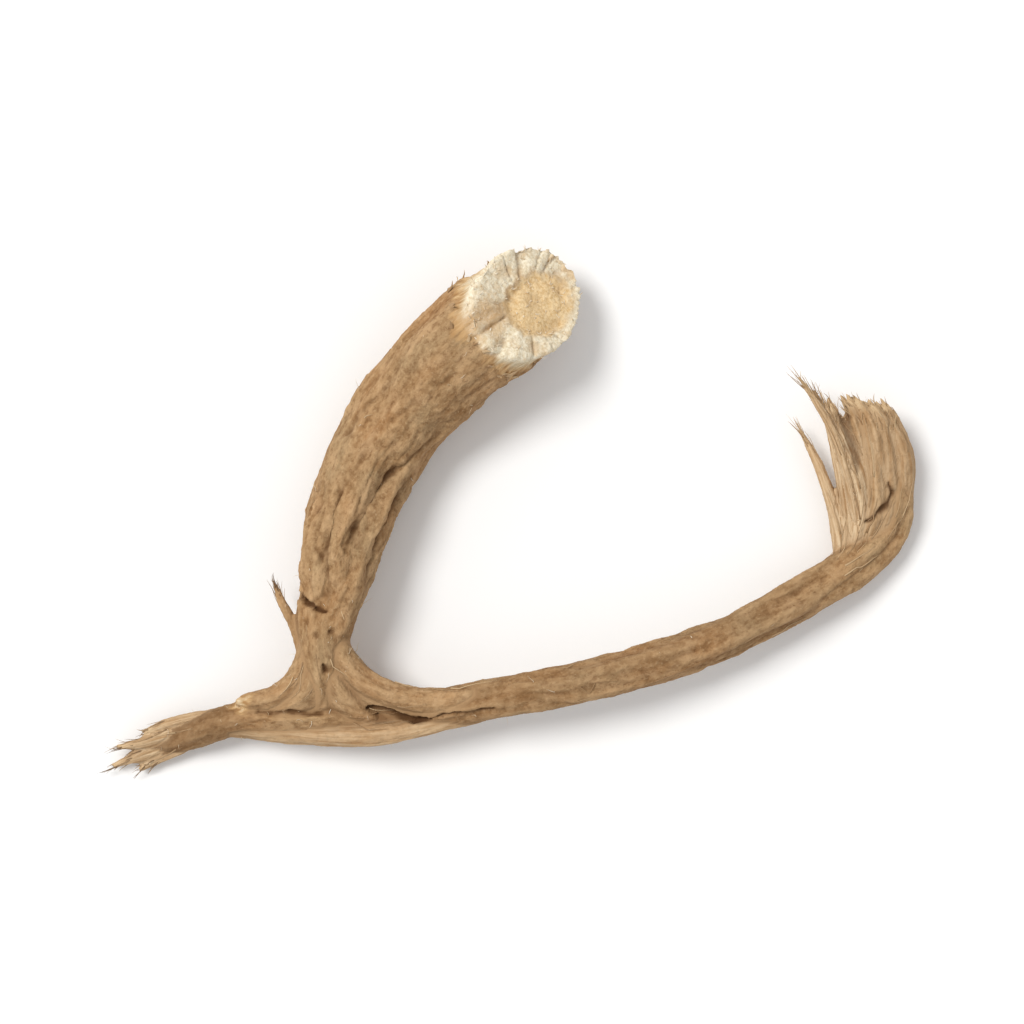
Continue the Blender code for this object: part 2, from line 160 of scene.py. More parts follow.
# The hooked end is a flat band of frayed strands, which lie between an outer and an inner route. The shares
# say where between the two each strand lies, and the gap in them is the split in the band.
HOOK_OUTER = (
    (9.90, -1.60, 0.50, 0.34),
    (10.56, -0.20, 0.72, 0.34),
    (10.62, 1.04, 1.06, 0.28),
    (10.36, 2.00, 1.28, 0.26),
    (9.84, 2.68, 1.40, 0.09),
)
HOOK_INNER = (
    (9.00, -2.00, 0.54, 0.34),
    (9.06, -0.60, 0.76, 0.32),
    (8.80, 0.80, 1.06, 0.26),
    (8.42, 1.90, 1.26, 0.23),
    (8.02, 2.80, 1.36, 0.08),
)
HOOK_SHARES = (0.0, 0.10, 0.20, 0.30, 0.40, 0.50, 0.60, 0.80, 0.96)
HOOK_CROWN = 0.22
HOOK_JITTER = 0.07
HOOK_LENGTHS = (0.45, 1.05)
HOOK_SEED = 7
SPLIT_SHARE = 0.6
# Strands that stand clear of the band: one on its inner side and one on its top
LOOSE_STRANDS = (
    (
        (8.96, -2.05, 0.56, 0.28),
        (8.82, -0.80, 0.66, 0.26),
        (8.44, 0.34, 0.76, 0.20),
        (8.14, 1.10, 0.78, 0.15),
        (7.80, 1.72, 0.72, 0.07),
    ),
    (
        (9.34, -0.70, 0.96, 0.20),
        (8.98, 0.60, 1.36, 0.19),
        (8.56, 1.72, 1.58, 0.15),
        (8.02, 2.66, 1.70, 0.11),
        (7.66, 3.14, 1.74, 0.06),
    ),
)
TIP_STRANDS = (
    ((-9.00, -6.36, 0.66, 0.24), (-10.10, -6.74, 0.56, 0.21), (-10.96, -6.92, 0.50, 0.09)),
    ((-9.30, -6.74, 0.46, 0.28), (-10.40, -7.16, 0.34, 0.21), (-11.12, -7.46, 0.26, 0.09)),
    ((-9.10, -6.84, 0.48, 0.22), (-9.90, -7.24, 0.34, 0.17), (-10.40, -7.58, 0.24, 0.08)),
    ((-8.00, -6.02, 0.84, 0.26), (-9.30, -6.22, 0.66, 0.25), (-10.20, -6.50, 0.56, 0.10)),
)

# Long furrows of the thick branch: start and end along it, angle from its top at both, half width, depth
BRANCH_FURROWS = (
    (1.2, 5.6, -58, -46, 0.32, 0.17),
    (4.6, 9.6, -46, -12, 0.33, 0.42),
    (6.2, 9.8, -60, -62, 0.30, 0.34),
    (6.8, 9.4, 12, 34, 0.31, 0.40),
    (8.3, 10.6, 16, 2, 0.28, 0.32),
    (6.4, 8.8, 84, 60, 0.32, 0.32),
    (2.6, 6.8, 0, 10, 0.36, 0.13),
    (2.4, 6.4, 44, 38, 0.36, 0.15),
    (1.0, 6.2, -88, -76, 0.36, 0.32),
    (6.2, 10.8, -92, -78, 0.34, 0.34),
    (2.4, 7.6, 96, 84, 0.34, 0.26),
    (8.4, 11.0, 96, 80, 0.30, 0.28),
    (0.6, 7.4, 122, 144, 0.38, 0.32),
    (5.8, 10.6, 176, 160, 0.38, 0.30),
    (1.6, 8.8, -122, -142, 0.38, 0.32),
)
# How far, in degrees, the furrows sway to the sides, and the shares and rates of that sway
SWAY = 9
FURROW_SWAY = ((0.7, 1.3), (0.3, 2.7))
# Narrow cracks seen from above, each as half width, depth, the darkness of the shade painted in it and its
# points (x, y):
# the slit under the fork's right arm, the end of the left lobe, the fold of the hooked end, the painted shadow
# in the gap of the hooked end, the shade under the left arm and the hollows of the fork
CRACKS = (
    (0.085, 0.22, 0.9, ((-4.00, -5.74), (-3.62, -5.80), (-3.30, -5.92), (-2.80, -6.06), (-2.30, -6.08))),
    (0.050, 0.12, 0.6, ((-2.40, -6.08), (-1.99, -5.92), (-1.32, -5.88), (-0.96, -5.80), (-0.60, -5.74))),
    (0.075, 0.18, 0.8, ((-6.12, -2.10), (-5.94, -2.56), (-5.70, -2.86), (-5.46, -2.98), (-5.10, -3.12))),
    (0.080, 0.14, 0.65, ((10.06, 0.36), (10.24, 0.06), (10.10, -0.26), (9.80, -0.54), (9.50, -0.74))),
    (0.160, 0.08, 0.5, ((8.84, 2.40), (8.96, 1.76), (9.14, 1.10), (9.28, 0.60))),
    (0.055, 0.09, 0.35, ((-7.10, -5.84), (-6.60, -5.90), (-6.10, -5.86), (-5.60, -5.92), (-5.20, -5.90))),
    (0.110, 0.12, 0.55, ((-5.18, -4.56), (-5.10, -4.70), (-5.12, -4.78))),
    (0.075, 0.09, 0.45, ((-5.46, -3.72), (-5.36, -3.80))),
    (0.075, 0.09, 0.45, ((-5.00, -3.62), (-4.90, -3.66))),
)
# The depth from which a furrow has a full crack along its middle
DEEP_FURROW = 0.34
# How dark the shade painted along the middle of a deep furrow is
FURROW_SHADE = 0.60
# The fine copy's voxel, and the rounds of smoothing that take the facets off it, each a step in and one out
VOXEL = 0.0585
FACET_ROUNDS, STEP_IN, STEP_OUT = 8, 0.55, -0.50
CURVE_STEPS = 24
CHUNK = 4000
# Heights of the bark's relief
WRINKLE, CREASE, CROSS_CRACK = 0.100, 0.034, 0.020
GRAIN, FINE_GRAIN, WART = 0.015, 0.009, 0.028
FURROW_CRACK, STREAK = 0.06, 0.030
# Heights of the torn wood's relief: fibres on its side, and rays, chips, splits and pores on the cut face
SIDE_FIBRES, SIDE_UNEVEN = 0.040, 0.030
RAYS, FINE_RAYS, CHIPS, SMALL_CHIPS, SPLITS, PORES = 0.060, 0.030, 0.110, 0.024, 0.070, 0.008
# The bump of the material, its depth in metres
BUMP_DEPTH, BUMP_STRENGTH = 0.00005, 0.85
# How far back from their ends strands are torn, and how unevenly
TEAR_REACH, TEAR_DEPTH = 0.40, 0.55
# The cut face: radius of the end, and the middle and radius of its core
FACE_REACH = 1.7
CORE_UP, CORE_SIDE, CORE_RADIUS = -0.30, -0.22, 0.86
# The angle from the face's top at which the painted shadow round the core is strongest
CORE_SHADOW_ANGLE = 60
# The tongue of inner bark that reaches over the rim towards the core: its angle from the top and its width,
# in radians
TONGUE_ANGLE, TONGUE_WIDTH = 0.24, 0.30
# Where the left arm of the fork broke off, and how wide the pale spot there is
BROKEN_ARM, BROKEN_REACH = (-7.50, -5.60, 1.24), 0.34
FIBRE_STEPS = 7
SPLIT_LENGTH = 0.7
THREAD_STEP = 0.1
# Fibres of the cut's rim and face, flakes and hairs: how many, their lengths and their half widths
RIM_FIBRES = (100, (0.10, 0.28), (0.012, 0.034))
FACE_FIBRES = (110, (0.08, 0.20), (0.012, 0.030))
FLAKES = (46, (0.14, 0.36), (0.018, 0.03, 0.06, 0.09))
HAIRS = (80, (0.10, 0.36), (0.006, 0.011))
# The middle of the fork, where the hairs are densest
FORK_MIDDLE = (-5.2, -4.6)
# How far fibres may reach past the solid's box along X, Y and Z, and the lowest that they may lie
PAST_BOX, LOWEST = (0.35, 0.25, 0.04), 0.02
SEED = 11

# The floor's side and how far it lies below the root, in metres, and the light
FLOOR_SIZE, FLOOR_DROP = 1.2, 0.00001
ROOM_STRENGTH = 0.66
KEY_STRENGTH, KEY_SPREAD = 2.05, 22
KEY_COLOUR = (1.0, 0.985, 0.96)
KEY_AIM = (0.46, -0.28, -0.84)
# The camera's lens, and the share of the picture's width that the piece takes up
LENS, FILLED = 100, 0.80


# Curves and frames

def smooth_curve(points, spacing):
    """Even stations on a Catmull-Rom curve through the points, and their distances along it."""
    points = np.array(points)
    padded = np.vstack((2 * points[0] - points[1], points, 2 * points[-1] - points[-2]))
    steps = np.linspace(0, 1, CURVE_STEPS, endpoint=False)[:, None]
    parts = []
    for before, start, end, after in zip(padded, padded[1:], padded[2:], padded[3:]):
        linear = (end - before) * steps
        square = (2 * before - 5 * start + 4 * end - after) * steps**2
        cube = (3 * start - before - 3 * end + after) * steps**3
        parts.append(0.5 * (2 * start + linear + square + cube))
    curve = np.vstack(parts + [points[-1:]])
    along = np.concatenate(([0], np.cumsum(np.linalg.norm(np.diff(curve[:, :3], axis=0), axis=1))))
    wanted = np.linspace(0, along[-1], max(4, round(along[-1] / spacing)))
    return np.column_stack([np.interp(wanted, along, column) for column in curve.T]), wanted


def unit(vectors):
    return vectors / np.maximum(np.linalg.norm(vectors, axis=-1, keepdims=True), 1e-9)


def frames_along(centres):
    """Tangent, up and side directions at each station."""
    tangent = unit(np.gradient(centres, axis=0))
    up = unit(np.array((0, 0, 1)) - tangent * tangent[:, 2:])
    return tangent, up, np.cross(tangent, up)


def branch_route():
    """The thick branch's route with its radius as a fourth column."""
    stations, along = smooth_curve(BRANCH_ROUTE, 0.4)
    radii = CUT_RADIUS * np.interp(along / along[-1], BRANCH_SHARES, BRANCH_RADII)
    return np.column_stack((stations, radii))


def hook_strands():
    """The strands of the hooked band, between its outer and its inner route."""
    draw = random.Random(HOOK_SEED)
    outer, inner = np.array(HOOK_OUTER), np.array(HOOK_INNER)
    strands = []
    for share in HOOK_SHARES:
        points = outer + (inner - outer) * share
        points[1:, 2] += HOOK_CROWN * 4 * share * (1 - share)
        points[1:-1] += [[draw.uniform(-HOOK_JITTER, HOOK_JITTER) for _ in range(4)] for _ in points[1:-1]]
        points[-1] = points[-2] + (points[-1] - points[-2]) * draw.uniform(*HOOK_LENGTHS)
        strands.append([tuple(point) for point in points])
    return strands


BRANCH, RIGHT, LEFT, FORK, SIDE, HOOK, BAST, TIP = range(8)
# The number, among all routes, of the fork's lowest strand, whose bark is lighter and more fibrous
LIGHT_STRAND = 6
# How pale and fibrous the strands are, by kind
PALENESS = {BAST: 1.0, TIP: 0.75, HOOK: 0.40, FORK: 0.08}
LIGHT_PALENESS = 0.50
# Threads of bast: the kind of strand that they lie along, how many on each, and their length
BAST_THREADS = ((HOOK, 2, 1.5), (BAST, 4, 1.9), (RIGHT, 14, 1.9), (TIP, 3, 0.9), (FORK, 2, 1.3))
# Fibres past the ends of strands: piece, kinds of strand, how many on each, and their lengths
END_FIBRES = (
    ("flap_fibres", (HOOK,), 14, (0.10, 0.38)),
    ("hook_fibres", (BAST,), 20, (0.25, 0.75)),
    ("tip_fibres", (TIP, SIDE), 14, (0.20, 0.55)),
)


def all_routes():
    """Every route of the root as (kind, stations, distances along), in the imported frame."""
    rows = [(BRANCH, branch_route()), (RIGHT, RIGHT_ROOT), (LEFT, LEFT_ROOT), (SIDE, SIDE_ROOTLET)]
    rows += [(FORK, points) for points in FORK_STRANDS]
    hooked = zip(HOOK_SHARES, hook_strands())
    rows += [(HOOK if share <= SPLIT_SHARE else BAST, points) for share, points in hooked]
    rows += [(BAST, points) for points in LOOSE_STRANDS]
    rows += [(TIP, points) for points in TIP_STRANDS]
    routes = []
    for kind, points in rows:
        stations, along = smooth_curve(points, 0.1)
        stations[:, :3] += ROUTE_SHIFT
        routes.append((kind, stations, along))
    return routes


# Meshes held as arrays, in millimetres

def vertices_of(mesh):
    flat = np.empty(len(mesh.vertices) * 3, dtype=np.float32)
    mesh.vertices.foreach_get("co", flat)
    return flat.reshape(-1, 3).astype(float)


def normals_of(mesh):
    flat = np.empty(len(mesh.vertices) * 3, dtype=np.float32)
    mesh.vertex_normals.foreach_get("vector", flat)
    return flat.reshape(-1, 3).astype(float)


def put_vertices(mesh, points):
    mesh.vertices.foreach_set("co", points.astype(np.float32).ravel())
    mesh.update()


def edges_of(mesh):
    flat = np.empty(len(mesh.edges) * 2, dtype=np.int32)
    mesh.edges.foreach_get("vertices", flat)
    return flat.reshape(-1, 2)


def put_attribute(mesh, name, values):
    kind = "FLOAT_VECTOR" if values.ndim == 2 else "FLOAT"
    layer = mesh.attributes.new(name, kind, "POINT")
    layer.data.foreach_set("vector" if values.ndim == 2 else "value", values.astype(np.float32).ravel())


def smoothed(values, edges, rounds, share):
    """Values at the vertices after some rounds of moving each towards its neighbours' mean."""
    count = len(values)
    degree = np.bincount(edges.ravel(), minlength=count)
    columns = [column.copy() for column in values.reshape(count, -1).T]
    for index, column in enumerate(columns):
        for _ in range(rounds):
            total = np.bincount(edges[:, 0], column[edges[:, 1]], count)
            total += np.bincount(edges[:, 1], column[edges[:, 0]], count)
            column = column + share * (total / degree - column)
        columns[index] = column
    return np.column_stack(columns).reshape(values.shape)


def noise_at(points, stretch, shift=0.0):
    """Noise from -1 to 1 at each point after the point is stretched."""
    return np.array([noise.noise(p) for p in map(Vector, points * np.array(stretch) + shift)])


def sunk(points, normals, edges, rounds, share):
    """How far each point lies below the surface that some rounds of smoothing leave."""
    return np.einsum("ij,ij->i", smoothed(points, edges, rounds, share) - points, normals)


def valleys_of(values, half_width):
    """1 in narrow valleys where the noise passes through nought, 0 on the flats between them."""
    return np.clip(1 - np.abs(values) / half_width, 0, 1)


def smoothstep(low, high, values):
    share = np.clip((values - low) / (high - low), 0, 1)
    return share * share * (3 - 2 * share)


def link(name, mesh):
    piece = bpy.data.objects.new(name, mesh)
    bpy.context.scene.collection.objects.link(piece)
    return piece


def dress(piece, material):
    """Give a piece its material and its place in the table."""
    piece.data.materials.clear()
    piece.data.materials.append(material)
    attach(piece, BODY)


# The skin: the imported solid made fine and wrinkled

def fine_copy():
    """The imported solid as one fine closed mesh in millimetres, with its facets smoothed away."""
    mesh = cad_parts[NODE].data.copy()
    mesh.transform(Matrix.Scale(1 / MM, 4))
    coarse = link("coarse", mesh)
    modifier = coarse.modifiers.new("Remesh", "REMESH")
    modifier.mode = "VOXEL"
    modifier.voxel_size = VOXEL
    evaluated = coarse.evaluated_get(bpy.context.evaluated_depsgraph_get())
    fine = bpy.data.meshes.new_from_object(evaluated)
    bpy.data.objects.remove(coarse, do_unlink=True)
    points, edges = vertices_of(fine), edges_of(fine)
    for _ in range(FACET_ROUNDS):
        points = smoothed(points, edges, 1, STEP_IN)
        points = smoothed(points, edges, 1, STEP_OUT)
    put_vertices(fine, points)
    return fine


def locate(points, routes):
    """For each point the kind and number of its route, its place across and along it, and the route's radius
    and direction there and its length."""
    centres = np.vstack([stations[:, :3] for _, stations, _ in routes])
    radii = np.concatenate([stations[:, 3] for _, stations, _ in routes])
    along = np.concatenate([distances for _, _, distances in routes])
    kinds = np.concatenate([np.full(len(stations), kind) for kind, stations, _ in routes])
    frames = [frames_along(stations[:, :3]) for _, stations, _ in routes]
    tangent, up, side = (np.vstack([row[k] for row in frames]) for k in range(3))
    numbers = np.concatenate([np.full(len(row[1]), number) for number, row in enumerate(routes)])
    nearest = np.empty(len(points), dtype=int)
    for start in range(0, len(points), CHUNK):
        part = points[start:start + CHUNK, None, :] - centres[None]
        nearest[start:start + CHUNK] = np.argmin(np.linalg.norm(part, axis=2) / radii, axis=1)
    away = points - centres[nearest]
    ways = (tangent, side, up)
    further, across, above = (np.einsum("ij,ij->i", away, way[nearest]) for way in ways)
    straight = np.column_stack((across, above, along[nearest] + further))
    lengths = np.concatenate([np.full(len(distances), distances[-1]) for _, _, distances in routes])
    return kinds[nearest], numbers[nearest], straight, radii[nearest], tangent[nearest], lengths[nearest]


def soften_seams(points, normals, edges, numbers, frayed):
    """Points moved so that the strands run into each other, and how far their grain fades where they meet."""
    crossing = numbers[edges[:, 0]] != numbers[edges[:, 1]]
    line = np.zeros(len(points))
    line[edges[crossing].ravel()] = 1
    seam = np.clip(3 * smoothed(line, edges, 8, 0.5), 0, 1)
    narrow = np.clip(2.2 * smoothed(line, edges, 3, 0.5), 0, 1)
    shallow = smoothstep(0.06, 0.02, sunk(points, normals, edges, 24, 0.6))
    merged = np.maximum(0.5 * seam * shallow, narrow)
    share = np.maximum(0.75 * seam, 0.30 * frayed)[:, None]
    return points + share * (smoothed(points, edges, 8, 0.5) - points), merged


def bark_edge(angle):
    """How far behind the cut plane the bark begins, for each angle from the top."""
    waves = (height * np.sin(count * angle + phase) for height, count, phase in BARK_START_WAVES)
    return BARK_START + sum(waves)


def cut_places(points, routes):
    """Near the cut end: distance behind its plane, angle from the top, and reach from its axis and core."""
    stations = routes[0][1][:, :3]
    tangent, up, side = (row[0] for row in frames_along(stations))
    away = points - stations[0]
    above, across = away @ up, away @ side
    behind = away @ tangent - CUT_SLOPE * above
    from_core = np.hypot(above - CORE_UP, across - CORE_SIDE)
    return behind, np.arctan2(across, above), np.hypot(across, above), from_core


def furrow_lines(straight, radii):
    """1 along the middle of the branch's long furrows, 0 away from them, and how deep they are there."""
    along, angle = straight[:, 2], np.arctan2(straight[:, 0], straight[:, 1])
    jitter = 0.05 * noise_at(straight, (2.2, 2.2, 2.2), 41.0)
    jitter += 0.03 * noise_at(straight, (6.0, 6.0, 4.0), 42.0)
    broken = smoothstep(-0.30, 0.15, noise_at(straight, (1.6, 1.6, 1.3), 43.0))
    lines, depth = np.zeros(len(straight)), np.zeros(len(straight))
    for start, end, start_angle, end_angle, half_width, deepest in BRANCH_FURROWS:
        share = np.clip((along - start) / (end - start), 0, 1)
        sway = SWAY * sum(part * np.sin(rate * along + start_angle) for part, rate in FURROW_SWAY)
        middle = np.radians(start_angle + (end_angle - start_angle) * share + sway)
        aside = np.abs(np.remainder(angle - middle + np.pi, 2 * np.pi) - np.pi) * radii + jitter
        strength = min(1, deepest / DEEP_FURROW) * np.sin(np.pi * share) ** 0.6
        lines = np.maximum(lines, smoothstep(0.14, 0.0, np.abs(aside)) * strength * (0.30 + 0.70 * broken))
        valley = smoothstep(half_width, 0.0, np.abs(aside)) * np.sin(np.pi * share)
        depth = np.maximum(depth, deepest * valley)
    return lines, depth


def distance_to_line(places, line):
    """Distance in the plane from each place to a line through some points, and how far along it that is."""
    nearest, along = np.full(len(places), np.inf), np.zeros(len(places))
    line = np.array(line)
    for number, (start, end) in enumerate(zip(line, line[1:])):
        step = end - start
        share = np.clip((places - start) @ step / (step @ step), 0, 1)
        away = np.linalg.norm(places - start - share[:, None] * step, axis=1)
        along = np.where(away < nearest, (number + share) / (len(line) - 1), along)
        nearest = np.minimum(nearest, away)
    return nearest, along


def crack_lines(points, normals):
    """Depth of the narrow cracks and how dark the shade painted in them is: both fade towards a crack's ends.
    """
    jitter = 0.035 * noise_at(points, (4.0, 4.0, 4.0), 51.0) + 0.020 * noise_at(points, (10, 10, 10), 52.0)
    uneven = 1 + 0.45 * noise_at(points, (3.0, 3.0, 3.0), 53.0)
    places = points[:, :2] - ROUTE_SHIFT[:2]
    above = smoothstep(-0.1, 0.2, normals[:, 2]) * (points[:, 2] > 0.6)
    depth, dark = np.zeros(len(points)), np.zeros(len(points))
    for half_width, deepest, darkest_shade, line in CRACKS:
        away, along = distance_to_line(places, line)
        reach = half_width * uneven * (0.35 + 0.65 * np.sqrt(np.sin(np.pi * along)))
        share = smoothstep(1.6, 0.1, (away + jitter) / reach) * above
        depth = np.maximum(depth, deepest * share)
        dark = np.maximum(dark, darkest_shade * share)
    return depth, dark


def bark_relief(points, straight, kinds, radii):
    """Height of the bark's wrinkles, cracks, warts and grain."""
    along = straight[:, 2]
    sway = 0.20 * np.column_stack([noise_at(straight, (0.8, 0.8, 0.9), shift) for shift in (11.0, 23.0)])
    swayed = straight + np.column_stack((sway, np.zeros(len(straight))))
    gathered = np.where(kinds == BRANCH, 0.25 + 0.50 * smoothstep(3.0, 7.5, along), 0.85)
    thick = np.clip(radii / 1.1, 0.4, 1.0)
    wrinkles = valleys_of(noise_at(swayed, (2.2, 2.2, 0.36)), 0.22) ** 1.3
    creases = valleys_of(noise_at(swayed, (5.0, 5.0, 0.62), 9.0), 0.20)
    across_cracks = valleys_of(noise_at(swayed, (1.2, 1.2, 3.4), 4.0), 0.07)
    patchy = smoothstep(-0.15, 0.35, noise_at(points, (1.1, 1.1, 1.1), 31.0))
    grain = noise_at(swayed, (6.5, 6.5, 3.4), 14.0)
    fine_grain = noise_at(points, (12, 12, 12), 3.0)
    warts = smoothstep(0.40, 0.62, noise_at(points, (3.3, 3.3, 3.3), 17.0))
    relief = -WRINKLE * wrinkles * thick * gathered
    relief -= CREASE * creases * thick * gathered**0.5 * (0.4 + 0.6 * patchy)
    relief += GRAIN * grain + FINE_GRAIN * fine_grain + WART * warts * thick
    return relief - CROSS_CRACK * across_cracks * patchy * thick**2


def wood_relief(points, straight, angle, face, core):
    """Height of the torn wood: fibres on its side, rays, chips and splits on the face, and pores on both."""
    fibres = SIDE_FIBRES * noise_at(straight, (7.5, 7.5, 0.8), 1.0)
    fibres += SIDE_UNEVEN * noise_at(points, (2.5, 2.5, 2.5), 2.0)
    around = np.column_stack((3.6 * np.cos(angle), 3.6 * np.sin(angle), 0.5 * points[:, 2]))
    rays = RAYS * noise_at(around, (1, 1, 1), 7.0) + FINE_RAYS * noise_at(around, (2.6, 2.6, 1), 3.0)
    chips = CHIPS * noise_at(points, (1.5, 1.5, 1.5), 8.0)
    chips += SMALL_CHIPS * noise_at(points, (7.5, 7.5, 7.5), 6.0)
    splits = -SPLITS * valleys_of(noise_at(around, (0.9, 0.9, 1), 29.0), 0.16)
    pores = PORES * noise_at(points, (13, 13, 13), 19.0)
    on_face = rays * (1 - core) + chips + splits * (1 - core)
    return (fibres * (1 - face) + on_face * face) + pores


def make_skin(routes):
    """The bark-covered root and its cut face, and what its material and the fibres read at its vertices."""
    mesh = fine_copy()
    points, normals, edges = vertices_of(mesh), normals_of(mesh), edges_of(mesh)
    kinds, numbers, straight, radii, tangent, lengths = locate(points, routes)
    behind, angle, reach, from_core = cut_places(points, routes)
    on_branch = kinds == BRANCH
    fibrous = [numbers == LIGHT_STRAND] + [kinds == kind for kind in PALENESS]
    pale = np.select(fibrous, [LIGHT_PALENESS, *PALENESS.values()], 0.0)
    frayed = smoothed(pale, edges, 10, 0.5)
    points, merged = soften_seams(points, normals, edges, numbers, frayed)

    torn = 0.17 * noise_at(points, (2.4, 2.4, 2.4)) + 0.10 * noise_at(points, (6.5, 6.5, 6.5), 5.0)
    broken = np.linalg.norm(points - BROKEN_ARM - np.array(ROUTE_SHIFT), axis=1) - BROKEN_REACH
    peel = np.minimum(np.where(on_branch, behind - bark_edge(angle), 9.0) + torn, broken + 0.8 * torn)
    bark = smoothstep(0.0, 0.12, peel)
    face = smoothstep(0.24, 0.08, behind) * (reach < FACE_REACH) * on_branch
    core = smoothstep(CORE_RADIUS + 0.12, CORE_RADIUS - 0.10, from_core + 0.9 * torn) * face

    on_bark = bark_relief(points, straight, kinds, radii) * (1 - merged)
    streaks = STREAK * noise_at(straight, (9.0, 9.0, 0.7), 27.0)
    on_bark = on_bark * (1 - 0.45 * frayed) + streaks * frayed
    furrows, depth = (values * on_branch for values in furrow_lines(straight, radii))
    # The cracks' depth, and the painted shade in them
    crack_depth, crack_shade = crack_lines(points, normals)
    uneven = 0.34 + 0.45 * noise_at(straight, (1.8, 1.8, 1.5), 71.0)
    furrow_cracks = FURROW_CRACK * furrows * np.clip(radii / 1.1, 0.5, 1)
    on_bark += depth * np.clip(uneven, 0.1, 0.8) - furrow_cracks - crack_depth
    relief = bark * on_bark + (1 - bark) * wood_relief(points, straight, angle, face, core)
    points = points + normals * relief[:, None]

    # Strand ends torn into points of uneven length
    ending = smoothstep(TEAR_REACH, 0.02, lengths - straight[:, 2]) * np.isin(kinds, (BAST, TIP, HOOK))
    tear = 0.5 * noise_at(straight, (6.5, 6.5, 0.4), 61.0) + 0.25 * noise_at(straight, (15, 15, 0.5), 63.0)
    points = points + tangent * (ending * tear * TEAR_DEPTH)[:, None]

    # How far each place lies below the smoothed surface round it, narrowly and widely: the materials paint
    # shade into the hollows and lighten the crests
    hollow = smoothed(sunk(points, normals, edges, 24, 0.6), edges, 1, 0.5)
    deep = sunk(points, normals, edges, 160, 0.7)
    points[:, 2] = np.maximum(points[:, 2], 0.0)
    put_vertices(mesh, points)
    tongue = np.exp(-((angle - TONGUE_ANGLE) / TONGUE_WIDTH) ** 2) * smoothstep(0.85, 1.10, from_core + torn)
    stored = {
        "face": face,
        "core": core,
        "peel": np.clip(peel, -2.0, 2.0),
        # A painted shadow round the core
        "core_shadow": painted_shadow_round_core(core, angle),
        "tongue": tongue * on_branch,
        "hollow": hollow,
        "merged": merged,
        "deep": deep,
        "frayed": frayed,
        # Painted shade along the furrows' middles and in the narrow cracks
        "painted_crack_shade": np.maximum(FURROW_SHADE * furrows, crack_shade),
        "ending": ending,
        "straight": straight,
        "dark": darkness(kinds, points),
    }
    for name, values in stored.items():
        put_attribute(mesh, name, values)
    return mesh, {"behind": behind, "angle": angle, "reach": reach, "bark": bark, "branch": on_branch}


def painted_shadow_round_core(core, angle):
    """A painted shadow where the core meets the wood, most of it on the upper left of the cut face."""
    upper_left = 0.5 + 0.5 * np.cos(angle - math.radians(CORE_SHADOW_ANGLE))
    return 4 * core * (1 - core) * (0.15 + 0.85 * upper_left**2)


def darkness(kinds, points):
    """How much darker the bark is than on the thick branch: the thin roots, and most the left root."""
    thin = smoothstep(9.6, 7.4, points[:, 0]) * (kinds == RIGHT)
    left = smoothstep(-6.0, -8.6, points[:, 0]) * (kinds != TIP)
    return np.clip(0.45 * thin + 1.0 * left, 0, 1)


# Fibres, flakes and fuzz

def tube(path, width, flat, face_up, sides=4):
    """Vertices and faces of one fibre or flake: full at its root, pointed at its end, flat by a share."""
    tangent = unit(np.gradient(path, axis=0))
    side = unit(np.cross(tangent, face_up))
    up = np.cross(side, tangent)
    taper = np.linspace(1, 0, len(path)) ** 0.6
    turns = 2 * np.pi * np.arange(sides) / sides
    rings = []
    for centre, across, above, share in zip(path, side, up, taper):
        reach = width * max(share, 0.12)
        around = np.outer(np.cos(turns), across) + flat * np.outer(np.sin(turns), above)
        rings.append(centre + reach * around)
    faces = [tuple(range(sides))[::-1]]
    for ring in range(len(path) - 1):
        for k in range(sides):
            turn = (k + 1) % sides
            low, high = ring * sides, (ring + 1) * sides
            faces.append((low + k, low + turn, high + turn, high + k))
    faces.append(tuple((len(path) - 1) * sides + k for k in range(sides)))
    return np.vstack(rings), faces


def wander(root, heading, length, curl, draw):
    """Path of a fibre that leaves its root in a direction, curls evenly and sways a little."""
    heading = unit(np.array(heading))
    bend = draw.normal(size=3) * curl / FIBRE_STEPS
    path = [np.array(root) - heading * 0.05]
    for _ in range(FIBRE_STEPS):
        heading = unit(heading + bend + draw.normal(size=3) * curl * 0.12)
        path.append(path[-1] + heading * length / FIBRE_STEPS)
    return np.array(path)


def keep_in_reach(path):
    """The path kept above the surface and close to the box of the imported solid."""
    low, high = (np.array(corner) / MM for corner in cad_box)
    low, high = low - PAST_BOX, high + PAST_BOX
    low[2] = LOWEST
    return np.clip(path, low, high)


def join(name, parts, tints, material):
    """One piece out of many small tubes, each with its own tint."""
    vertices, faces, values, first = [], [], [], 0
    for (points, polygons), tint in zip(parts, tints):
        vertices.append(points)
        faces += [tuple(first + index for index in polygon) for polygon in polygons]
        values.append(np.full(len(points), tint))
        first += len(points)
    mesh = bpy.data.meshes.new(name)
    mesh.from_pydata((np.vstack(vertices) * MM).tolist(), [], faces)
    mesh.shade_smooth()
    put_attribute(mesh, "tint", np.concatenate(values))
    dress(link(name, mesh), material)


def choose(draw, weights, count):
    return draw.choice(len(weights), count, p=weights / weights.sum())


